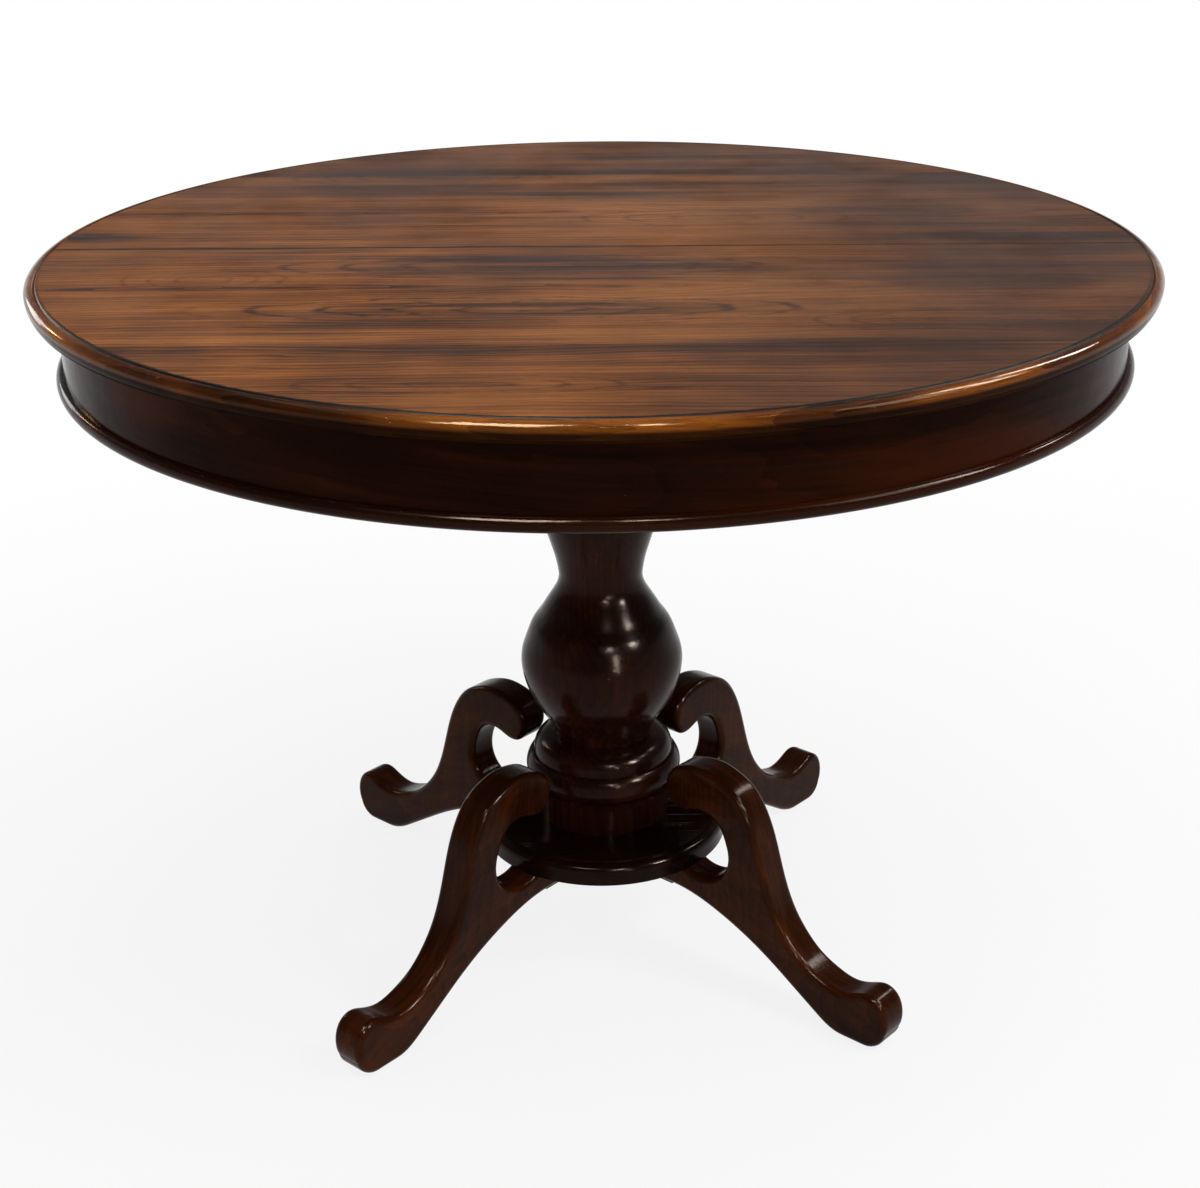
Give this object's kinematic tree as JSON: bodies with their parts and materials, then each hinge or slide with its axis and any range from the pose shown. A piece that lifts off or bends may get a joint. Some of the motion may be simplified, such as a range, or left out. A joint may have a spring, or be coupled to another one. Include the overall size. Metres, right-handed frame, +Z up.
{
  "type": "round extending pedestal table",
  "caption": "Round extending pedestal dining table with a split sliding top, moulded edge, deep frieze and bead, turned baluster pillar, round plinth and scroll legs.",
  "frame": {"origin": "on the floor on the pillar's axis, below the middle of the closed top", "axes": "+Z up, +X along the seam of the top towards the picture's right, front half towards -Y"},
  "size_m": [1.08, 1.0804, 0.762],
  "materials": {
    "top_wood": "figured red-brown veneer under a worn satin polish",
    "edge_wood": "glossy golden brown polish",
    "frieze_wood": "very dark red-brown gloss polish",
    "base_wood": "dark red-brown gloss polish",
    "inner_wood": "bare aged wood",
    "iron": "dull dark iron",
    "brass": "aged brass"
  },
  "bodies": {
    "pedestal": {"pillar": "base_wood", "plinth": "base_wood", "hub": "inner_wood", "leg_rear_right": "base_wood", "leg_rear_left": "base_wood", "leg_front_left": "base_wood", "leg_front_right": "base_wood", "cross_plate": "iron", "plate_screws": "iron", "coach_bolt": "iron", "head_block": "inner_wood", "head_wedge": "edge_wood", "bearer_left": "inner_wood", "bearer_right": "inner_wood", "cross_rail_front": "inner_wood", "cross_rail_rear": "inner_wood", "frame_screws": "iron"},
    "front_half": {"inner_board_front": "top_wood", "outer_board_front": "top_wood", "edge_moulding_front": "edge_wood", "frieze_front": "frieze_wood", "bead_front": "frieze_wood", "glue_blocks_front": "inner_wood", "runner_front_left": "inner_wood", "runner_front_right": "inner_wood", "batten_front_left": "inner_wood", "batten_front_right": "inner_wood", "top_screws_front": "iron", "stop_pegs_front": "inner_wood", "seam_pegs": "inner_wood", "catch_pivots": "brass"},
    "rear_half": {"inner_board_rear": "top_wood", "outer_board_rear": "top_wood", "edge_moulding_rear": "edge_wood", "frieze_rear": "frieze_wood", "bead_rear": "frieze_wood", "glue_blocks_rear": "inner_wood", "runner_rear_left": "inner_wood", "runner_rear_right": "inner_wood", "batten_rear_left": "inner_wood", "batten_rear_right": "inner_wood", "top_screws_rear": "iron", "stop_pegs_rear": "inner_wood", "catch_keepers": "brass"},
    "catch_left": {"catch_left": "brass"},
    "catch_right": {"catch_right": "brass"}
  },
  "joints": [
    {"name": "front_half_slide", "type": "slide", "parent": "pedestal", "child": "front_half", "axis": [0, -1, 0], "range_m": [0, 0.245]},
    {"name": "rear_half_slide", "type": "slide", "parent": "pedestal", "child": "rear_half", "axis": [0, 1, 0], "range_m": [0, 0.245]},
    {"name": "catch_left_hinge", "type": "hinge", "parent": "front_half", "child": "catch_left", "pos_m": [-0.232, -0.0303, 0.7425], "axis": [0, 0, -1], "range_deg": [0, 90]},
    {"name": "catch_right_hinge", "type": "hinge", "parent": "front_half", "child": "catch_right", "pos_m": [0.232, -0.0303, 0.7425], "axis": [0, 0, 1], "range_deg": [0, 90]}
  ]
}
